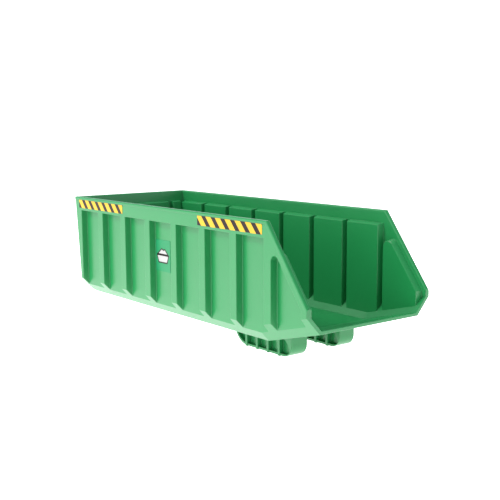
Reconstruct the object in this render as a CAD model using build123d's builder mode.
"""Open scow-ended skip body of a 1:22.5 garden-railway wagon, in millimetres.

A moulded tub with corrugated walls and an open, kicked-up rear end, two cored
runners pegged under its floor, and printed labels on both sides.  +X points to
the open end and +Z is up.  The origin lies under the middle of the overall box,
at the level of the runners' soles.
"""
import os
from math import hypot, radians, tan

from build123d import *

# ---- overall sizes -----------------------------------------------------------
overall_length = 269.0     # headboard rim to rear tip
tub_width = 100.0          # outside the side walls
tub_height = 73.5          # floor underside to rim
runner_height = 12.9       # sole to floor underside

# ---- tub walls -----------------------------------------------------------------
wall = 2.7                 # side walls and headboard
floor = 2.2                # floor, chines and lip
chine_width = 9.7          # sloped lower corners, across
chine_height = 10.6        # sloped lower corners, up
headboard_rake = 7.0       # how far the rim leans ahead of the floor
rim_bead = 2.0             # height of the bead round the rim
bead_proud = 0.3           # how far the bead stands out

# ---- open rear end -------------------------------------------------------------
ramp_length = 45.0         # sloping floor behind the flat floor
ramp_rise = 11.7           # height gained over the ramp
rear_post = 5.0            # short upright edge at the rear tip
rear_cutback = 35.0        # from the rear tip forward to the end of the rim

# ---- corrugation ---------------------------------------------------------------
panel_pitch = 32.6
panel_count = 8            # per side; the last one follows the sloping end
rib_land = 6.4             # outer face of a rib
first_panel = 2.1          # headboard foot to the first recess
panel_depth = 4.4          # the panels step in by this much
panel_draft = 10.0         # slope of the steps, degrees
band_height = 10.1         # plain band under the rim, outside
raised_gap = 4.5           # between the raised panels, inside
end_margin = 4.9           # from the last recess to the sloping edge
end_round = 3.4            # top corner of the last recess
corner_land = 8.6          # plain corners of the headboard

# ---- runners -------------------------------------------------------------------
runner_length = 57.0
runner_width = 13.4
runner_spacing = 40.0      # between the runners' middles
runner_setback = 40.5      # from the rear tip to the runners' rear faces
bay_count = 5
web = 7.0                  # upright web down the middle
bay_rib = 1.9              # cross ribs between the bays
heel_wall = 1.9            # between the last bay and the rear face
sole_skin = 1.8            # under the bays
roof_skin = 1.2            # over the bays, against the floor
nose_run = 14.0            # length of the rising nose
rib_proud = 0.4            # the cross ribs stand out from the flanks and the sole
heel_radius = 8.0
arch_radius = 8.0          # rear top corner of a bay
peg_radius = 1.6
peg_length = 1.2
peg_clearance = 0.1
peg_inset = 15.0           # from each end of a runner

# ---- labels --------------------------------------------------------------------
film = 0.2
hazard_length = 65.0
hazard_height = 6.1
hazard_drop = 2.2          # from the rim
hazard_front = 6.2         # from the headboard rim
hazard_rear = 4.0          # from the rear end of the rim
emblem_width = 18.2
emblem_height = 21.7
emblem_panel = 3           # the recess that holds it, counted from 0 at the headboard
emblem_rise = 29.0         # from the floor underside
emblem_gap = 0.3           # from the recess's front step
label_corner = 0.6

# ---- rounding ------------------------------------------------------------------
arris = 0.4                # ribs, recesses, keel and lip
rim_round = 1.0            # rim and sloping rear edges

# ---- worked out from the sizes above -------------------------------------------
floor_z = runner_height
rim_z = floor_z + tub_height
half_width = tub_width / 2
rear_x = overall_length / 2
rim_front_x = bead_proud - overall_length / 2
foot_x = rim_front_x + headboard_rake
fold_x = rear_x - ramp_length
rim_rear_x = rear_x - rear_cutback
tip_low_z = floor_z + ramp_rise + chine_height
tip_high_z = tip_low_z + rear_post
ramp_slope = ramp_rise / ramp_length
beyond = 2 * tub_height    # reach of cutting shapes past the tub
tolerance = 0.001
raised_grow = (rib_land - raised_gap) / 2
runner_rear_x = rear_x - runner_setback
runner_front_x = runner_rear_x - runner_length
bay_pitch = (runner_length - nose_run) / (bay_count - 1)
peg_places = (runner_front_x + peg_inset, runner_rear_x - peg_inset)

HEADBOARD = Plane(
    origin=(foot_x, 0, floor_z),
    x_dir=(0, 1, 0),
    z_dir=(tub_height, 0, headboard_rake),
)
FAR_WALL = Plane.XZ.offset(-half_width)


def cross_section(side_gap, floor_gap):
    """Upright section with cut lower corners, drawn in from the tub's outside."""
    slant = hypot(chine_width, chine_height)
    corner_z = (floor_gap * slant - side_gap * chine_height) / chine_width + chine_height
    foot_y = (floor_gap * slant + (chine_height - floor_gap) * chine_width) / chine_height
    with BuildSketch(Plane.YZ.offset(fold_x)) as section:
        with BuildLine():
            Polyline(
                (half_width - side_gap, rim_z + beyond),
                (half_width - side_gap, floor_z + corner_z),
                (half_width - foot_y, floor_z + floor_gap),
                (foot_y - half_width, floor_z + floor_gap),
                (side_gap - half_width, floor_z + corner_z),
                (side_gap - half_width, rim_z + beyond),
                close=True,
            )
        make_face()
    return section.sketch


def trough(side_gap, floor_gap):
    """The section run level ahead of the fold and up the ramp behind it."""
    section = cross_section(side_gap, floor_gap)
    with BuildPart() as run:
        extrude(section, amount=overall_length, dir=(-1, 0, 0))
        extrude(section, amount=2 * hypot(ramp_length, ramp_rise), dir=(ramp_length, 0, ramp_rise))
    return run.part


def behind_headboard(gap):
    """Everything behind the headboard's outer plane drawn in by gap."""
    with BuildPart() as block:
        with BuildSketch(HEADBOARD.offset(gap)) as face:
            Rectangle(beyond * 2, beyond * 3)
        extrude(face.sketch, amount=overall_length + beyond)
    return block.part


def side_outline(inset, drop):
    """Side view (X, Z) of the sloping rear end, drawn in by inset and the rim by drop."""
    front = foot_x - overall_length
    with BuildSketch() as outline:
        with BuildLine():
            Polyline(
                (front, floor_z - beyond),
                (rear_x, floor_z - beyond),
                (rear_x, tip_high_z),
                (rim_rear_x, rim_z),
                (front, rim_z),
                close=True,
            )
        make_face()
        if inset:
            offset(amount=-inset, kind=Kind.INTERSECTION)
        with Locations((front, rim_z - drop)):
            Rectangle(2 * beyond + overall_length * 2, beyond, align=Align.MIN, mode=Mode.SUBTRACT)
    return outline.sketch


def side_panels(grow):
    """Outlines (X, Z) of one wall's panels, running out below the floor."""
    with BuildSketch() as panels:
        for index in range(panel_count):
            left = foot_x + first_panel + index * panel_pitch
            width = beyond if index == panel_count - 1 else panel_pitch - rib_land
            with Locations((left, rim_z)):
                Rectangle(width, 2 * beyond, align=(Align.MIN, Align.MAX))
        add(side_outline(end_margin, band_height), mode=Mode.INTERSECT)
        last = panels.faces().sort_by(Axis.X)[-1]
        fillet(last.vertices().sort_by(Axis.Y)[-1], end_round)
        if grow:
            offset(amount=grow, kind=Kind.INTERSECTION)
    return panels.sketch


def headboard_panels(grow):
    """Outlines of the headboard's panels: two wide ones and two narrow corner ones."""
    slope_height = hypot(tub_height, headboard_rake)
    edges_y = (rib_land / 2, panel_pitch - rib_land / 2, panel_pitch + rib_land / 2, half_width - corner_land)
    with BuildSketch() as panels:
        for near, far in (edges_y[:2], edges_y[2:]):
            for side in (-1, 1):
                with Locations((side * (near + far) / 2, slope_height - band_height + grow)):
                    Rectangle(far - near + 2 * grow, 2 * beyond, align=(Align.CENTER, Align.MAX))
    return panels.sketch


def stepped(outline, depth):
    """Blocks with drafted sides that narrow over their depth to a rounded crown."""
    with BuildPart() as blocks:
        extrude(outline, amount=depth, taper=panel_draft)
        fillet(blocks.faces().group_by(Axis.Z)[-1].edges(), arris)
    return blocks.part


def load_space():
    """The hollow of the tub, less the panels that stand into it."""
    base = wall / 2
    height = wall - base + panel_depth
    spread = raised_grow + height * tan(radians(panel_draft))
    with BuildPart() as raised:
        with Locations(FAR_WALL.offset(base)):
            add(stepped(side_panels(spread), height))
        mirror(about=Plane.XZ)
        with Locations(HEADBOARD.offset(base)):
            add(stepped(headboard_panels(spread), height))
    with BuildPart() as hollow:
        add(trough(wall, floor))
        add(behind_headboard(wall), mode=Mode.INTERSECT)
        add(raised.part, mode=Mode.SUBTRACT)
    return hollow.part


def recesses():
    """The recesses in the outside of both walls and the headboard."""
    with BuildPart() as pockets:
        with Locations(FAR_WALL):
            add(stepped(side_panels(0), panel_depth))
        mirror(about=Plane.XZ)
        with Locations(HEADBOARD):
            add(stepped(headboard_panels(0), panel_depth))
    return pockets.part


def bead():
    """A shallow bead along the rim and down the sloping rear edges."""
    with BuildPart() as strip:
        with BuildSketch(Plane.XZ) as band:
            add(side_outline(0, 0))
            add(side_outline(rim_bead, rim_bead), mode=Mode.SUBTRACT)
            with Locations((0, tip_low_z)):
                Rectangle(
                    3 * overall_length, 3 * beyond, align=(Align.CENTER, Align.MAX), mode=Mode.SUBTRACT
                )
        extrude(band.sketch, amount=half_width + bead_proud, both=True)
        add(behind_headboard(-bead_proud), mode=Mode.INTERSECT)
    return strip.part


def runner_outline(inset):
    """Side view (X, Z) of a runner, its sole and nose drawn in by inset."""
    front = runner_front_x + inset
    rear = runner_rear_x
    with BuildSketch() as outline:
        with BuildLine():
            top = Polyline(
                (front, floor_z),
                (fold_x, floor_z),
                (rear, floor_z + (rear - fold_x) * ramp_slope),
                (rear, heel_radius),
            )
            heel = RadiusArc(top @ 1, (rear - heel_radius + inset, inset), heel_radius - inset)
            sole = Line(heel @ 1, (runner_front_x + nose_run, inset))
            TangentArc(sole @ 1, (front, floor_z), tangent=(-1, 0))
        make_face()
    return outline.sketch


def bay_outlines():
    """Side view (X, Z) of the hollow bays between a runner's cross ribs."""
    bay_length = bay_pitch - bay_rib
    bay_height = floor_z - sole_skin - roof_skin
    with BuildSketch() as bays:
        for index in range(bay_count):
            rear = runner_rear_x - index * bay_pitch - (bay_rib if index else heel_wall)
            last = index == bay_count - 1
            length = nose_run * 2 if last else bay_length
            with Locations((rear, sole_skin)):
                Rectangle(length, bay_height, align=(Align.MAX, Align.MIN))
        add(runner_outline(sole_skin), mode=Mode.INTERSECT)
        for bay in bays.faces():
            roof = bay.edges().sort_by(Axis.Y)[-1]
            rear = bay.edges().sort_by(Axis.X)[-1]
            arch = min(arch_radius, 0.98 * roof.length, 0.98 * rear.length)
            fillet(bay.vertices().sort_by(Axis.Y)[-2:].sort_by(Axis.X)[-1:], arch)
    return bays.sketch


def runner(label, y):
    """One cored runner, its top following the tub's underside, with two pegs."""
    flank = runner_width / 2 - rib_proud
    with BuildPart() as shoe:
        with BuildSketch(Plane.XZ) as profile:
            add(runner_outline(rib_proud))
        extrude(profile.sketch, amount=flank, both=True)
        with BuildSketch(Plane.XZ) as ribs:
            for index in range(1, bay_count):
                with Locations((runner_rear_x - index * bay_pitch, 0)):
                    Rectangle(bay_rib, 2 * runner_height, align=(Align.MAX, Align.MIN))
            add(runner_outline(0), mode=Mode.INTERSECT)
        extrude(ribs.sketch, amount=runner_width / 2, both=True)
        for side in (-1, 1):
            with BuildSketch(Plane.XZ.offset(side * web / 2)) as bays:
                add(bay_outlines())
            extrude(bays.sketch, amount=side * runner_width, mode=Mode.SUBTRACT)
        with Locations(*[(x, 0, floor_z) for x in peg_places]):
            Cylinder(peg_radius, peg_length, align=(Align.CENTER, Align.CENTER, Align.MIN))
    shoe.part.label = label
    return shoe.part.moved(Location((0, y, 0)))


def label_film(label, width, height, left, bottom, depth, side):
    """A film stuck on the face that lies depth inside the wall's outside."""
    with BuildPart() as sticker:
        with BuildSketch(Plane.XZ.offset(-side * (half_width - depth))) as print_area:
            with Locations((left, bottom)):
                RectangleRounded(width, height, label_corner, align=Align.MIN)
        extrude(print_area.sketch, amount=-side * film)
    sticker.part.label = label
    return sticker.part


def save(part):
    """Write one node's STEP file, named by its label."""
    export_step(part, f"parts/{part.label}.step")


def on_outer_wall(edge):
    """True for an edge that lies in the outer plane of a side wall."""
    return abs(abs(edge.center().Y) - half_width) < tolerance


def on_headboard(edge):
    """True for an edge in the headboard's outer plane, away from its corners."""
    place = HEADBOARD.to_local_coords(edge.center())
    return abs(place.Z) < tolerance and abs(place.X) < half_width - corner_land / 2


def rib_arrises(edges):
    """The long outer edges of the ribs and of the recess tops."""
    upright = edges.filter_by(Axis.Z).filter_by(on_outer_wall)
    tops = edges.filter_by(Axis.X).filter_by(on_outer_wall)
    raked = edges.filter_by(Axis((0, 0, 0), HEADBOARD.y_dir)).filter_by(on_headboard)
    return (
        upright.filter_by(lambda edge: edge.length > 2 * rear_post)
        + tops.filter_by(lambda edge: abs(edge.center().Z - rim_z + band_height) < tolerance)
        + raked
    )


# ---- tub -----------------------------------------------------------------------
with BuildPart() as tub:
    add(trough(0, 0))
    with BuildSketch(Plane.XZ) as silhouette:
        add(side_outline(0, 0))
    extrude(silhouette.sketch, amount=half_width, both=True, mode=Mode.INTERSECT)
    add(behind_headboard(0), mode=Mode.INTERSECT)
    add(recesses(), mode=Mode.SUBTRACT)
    add(bead())
    add(load_space(), mode=Mode.SUBTRACT)
    sockets = [
        (x, side * runner_spacing / 2, floor_z) for x in peg_places for side in (-1, 1)
    ]
    with Locations(*sockets):
        Cylinder(
            peg_radius + peg_clearance,
            peg_length + peg_clearance,
            align=(Align.CENTER, Align.CENTER, Align.MIN),
            mode=Mode.SUBTRACT,
        )
    rear_slope = Axis((0, 0, 0), (rim_z - tip_high_z, 0, rear_cutback))
    exposed = tub.faces().filter_by(Axis.Z).sort_by(Axis.Z)[-1:]
    exposed += tub.faces().filter_by(rear_slope).sort_by(SortBy.AREA)[-2:]
    fillet(exposed.edges().filter_by(lambda edge: edge.length > 2 * wall), rim_round)
    fillet(rib_arrises(tub.edges()), arris)
    keel = tub.edges().filter_by(Axis.X).group_by(Axis.Z)[0]
    fillet(keel.filter_by(lambda edge: edge.length > tub_width), arris)
    lip = tub.faces().filter_by(Axis.X).sort_by(Axis.X)[-1].edges().filter_by(Axis.Y)
    fillet(lip.filter_by(lambda edge: edge.length > 2 * wall), arris)
tub.part.label = "tub"

# ---- output --------------------------------------------------------------------
os.makedirs("parts", exist_ok=True)
save(tub.part)
for side, name in ((-1, "left"), (1, "right")):
    save(runner(f"runner_{name}", side * runner_spacing / 2))
    band = (hazard_length, hazard_height)
    level = rim_z - hazard_drop - hazard_height
    save(label_film(f"hazard_label_front_{name}", *band, rim_front_x + hazard_front, level, 0, side))
    rear_left = rim_rear_x - hazard_rear - hazard_length
    save(label_film(f"hazard_label_rear_{name}", *band, rear_left, level, 0, side))
    panel = foot_x + first_panel + emblem_panel * panel_pitch
    left = panel + panel_depth * tan(radians(panel_draft)) + emblem_gap
    place = (left, floor_z + emblem_rise, panel_depth, side)
    save(label_film(f"emblem_label_{name}", emblem_width, emblem_height, *place))
